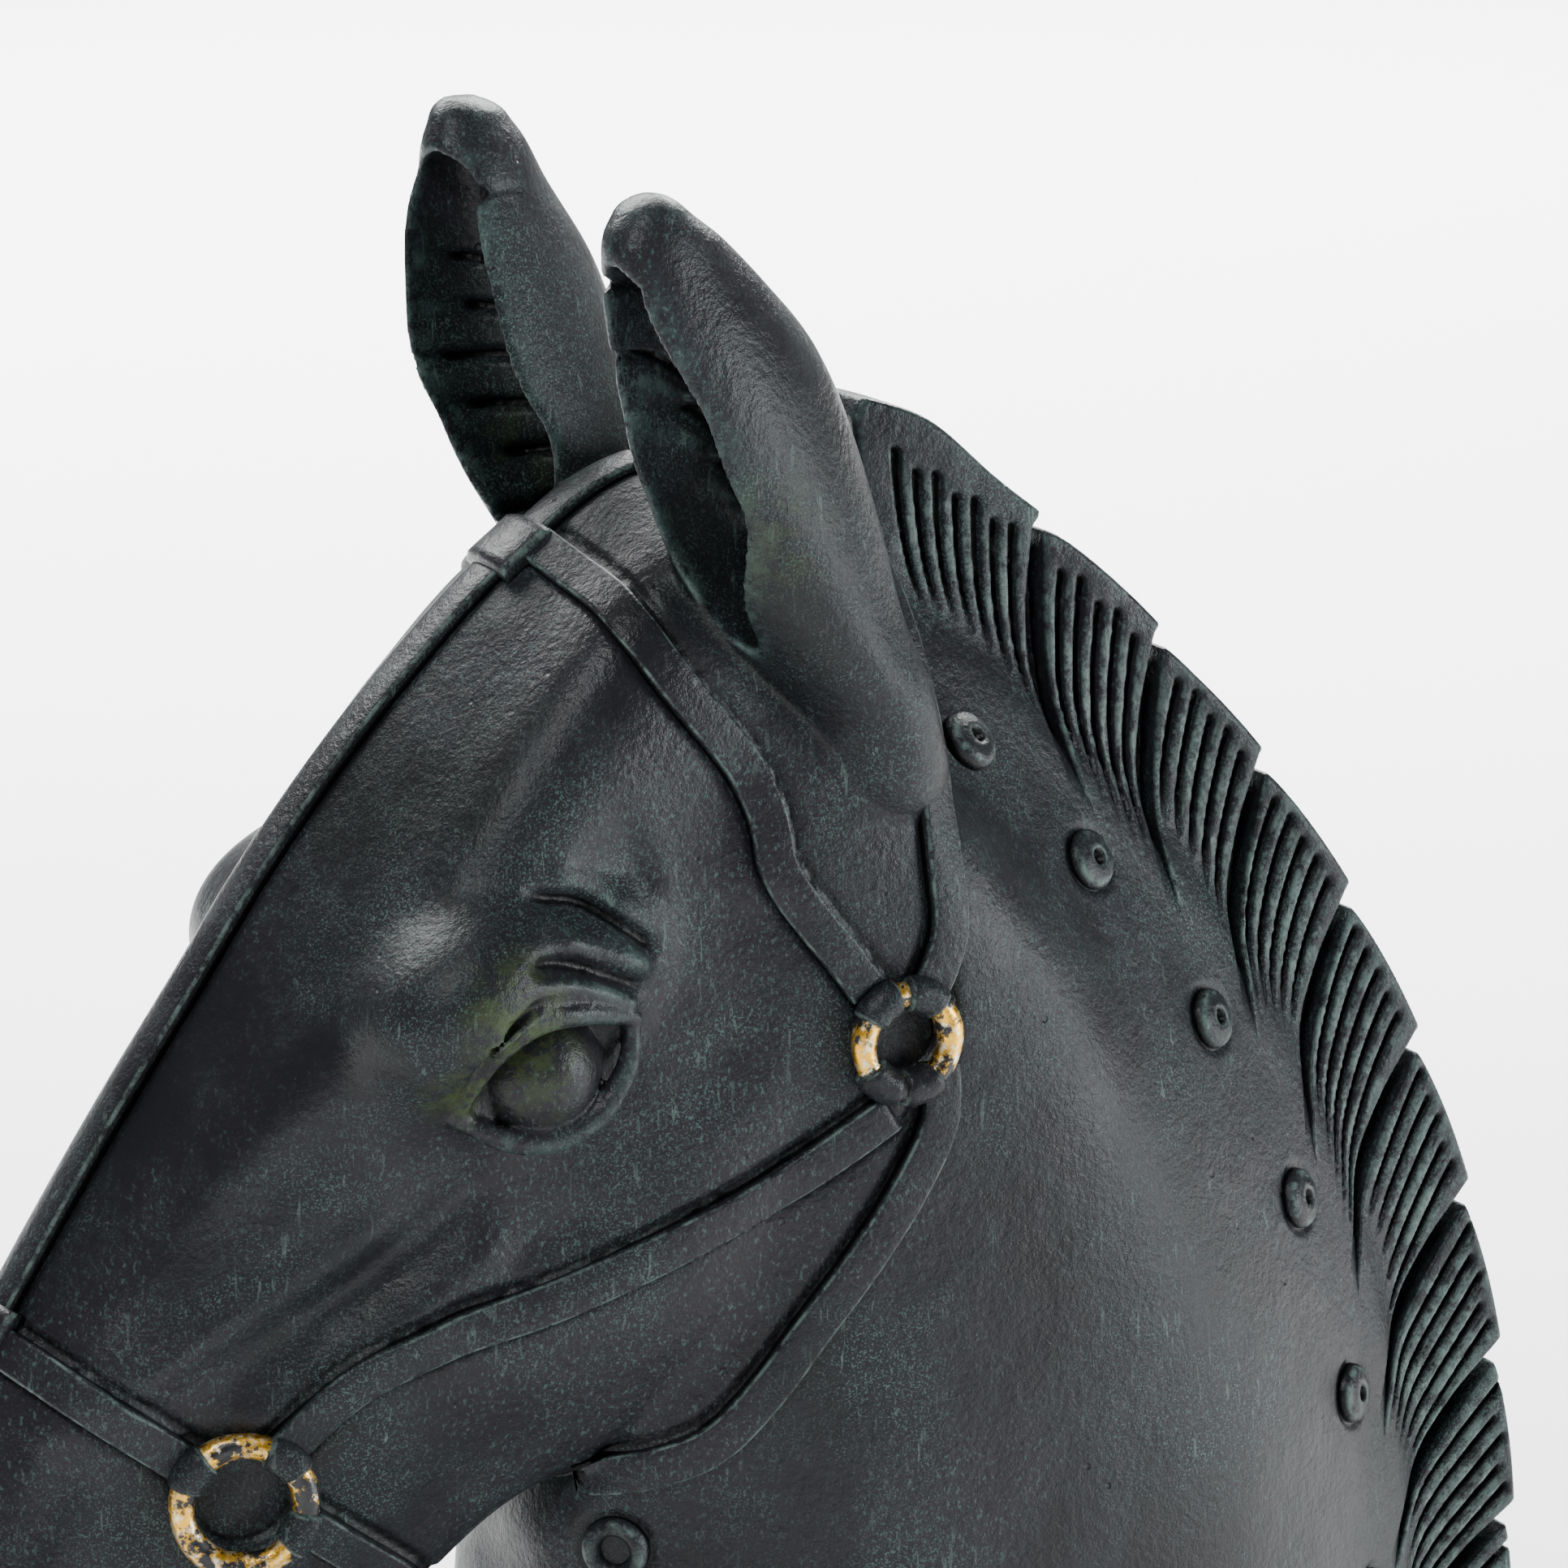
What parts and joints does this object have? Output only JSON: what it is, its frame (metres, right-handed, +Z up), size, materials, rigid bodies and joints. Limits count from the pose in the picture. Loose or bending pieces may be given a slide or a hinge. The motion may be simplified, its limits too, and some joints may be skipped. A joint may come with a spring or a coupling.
{
  "type": "horse head sculpture",
  "caption": "Bust of a horse's head and arched neck with roached mane and bridle, cast as one and cut flat below.",
  "frame": {"origin": "middle of the flat underside, under the neck", "axes": "+Z up, the nose points along -X, the horse's left side faces -Y"},
  "size_m": [0.3677, 0.1128, 0.3795],
  "materials": {
    "patina": "satin charcoal cast metal with rubbed grey-green edges",
    "gilding": "worn gold leaf over the dark cast"
  },
  "bodies": {
    "root": {"horse_head": "patina"}
  },
  "joints": []
}
